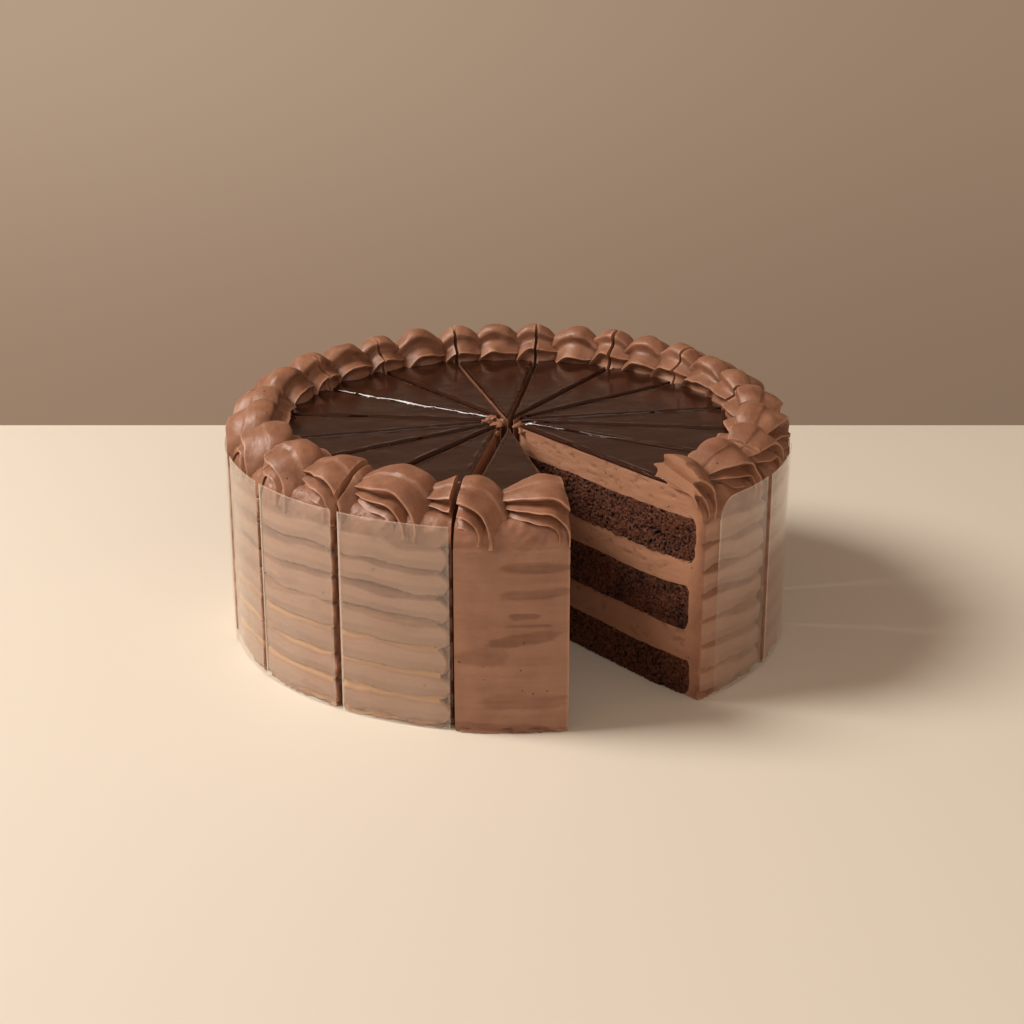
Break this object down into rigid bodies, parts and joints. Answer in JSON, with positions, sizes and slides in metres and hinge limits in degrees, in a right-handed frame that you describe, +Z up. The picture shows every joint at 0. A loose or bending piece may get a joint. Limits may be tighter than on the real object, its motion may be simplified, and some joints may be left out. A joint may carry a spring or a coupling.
{
  "type": "chocolate cake",
  "caption": "Round chocolate layer cake with a combed cream wall, dark glaze and a piped border, cut into portions with one wedge taken out.",
  "frame": {"origin": "centre of the underside, on the surface that the cake stands on", "axes": "+Z up; -Y towards the front, where the missing wedge opens just right of the middle"},
  "size_m": [0.2398, 0.2411, 0.1035],
  "materials": {
    "cream": "soft satin",
    "sponge": "matte crumb",
    "glaze": "glossy",
    "film": "clear film"
  },
  "bodies": {
    "root": {"portion_01_border": "cream", "portion_01_cream": "cream", "portion_01_film": "film", "portion_01_glaze": "glaze", "portion_01_sponge_low": "sponge", "portion_01_sponge_mid": "sponge", "portion_01_sponge_top": "sponge", "portion_02_body": "cream", "portion_02_border": "cream", "portion_02_film": "film", "portion_02_glaze": "glaze", "portion_03_body": "cream", "portion_03_border": "cream", "portion_03_film": "film", "portion_03_glaze": "glaze", "portion_04_body": "cream", "portion_04_border": "cream", "portion_04_glaze": "glaze", "portion_05_body": "cream", "portion_05_border": "cream", "portion_05_glaze": "glaze", "portion_06_body": "cream", "portion_06_border": "cream", "portion_06_glaze": "glaze", "portion_07_body": "cream", "portion_07_border": "cream", "portion_07_glaze": "glaze", "portion_08_body": "cream", "portion_08_border": "cream", "portion_08_glaze": "glaze", "portion_09_body": "cream", "portion_09_border": "cream", "portion_09_glaze": "glaze", "portion_10_body": "cream", "portion_10_border": "cream", "portion_10_glaze": "glaze", "portion_11_body": "cream", "portion_11_border": "cream", "portion_11_film": "film", "portion_11_glaze": "glaze", "portion_12_body": "cream", "portion_12_border": "cream", "portion_12_film": "film", "portion_12_glaze": "glaze", "portion_13_body": "cream", "portion_13_border": "cream", "portion_13_film": "film", "portion_13_glaze": "glaze", "portion_14_body": "cream", "portion_14_border": "cream", "portion_14_film": "film", "portion_14_glaze": "glaze", "portion_15_border": "cream", "portion_15_cream": "cream", "portion_15_glaze": "glaze", "portion_15_sponge_low": "sponge", "portion_15_sponge_mid": "sponge", "portion_15_sponge_top": "sponge"}
  },
  "joints": []
}
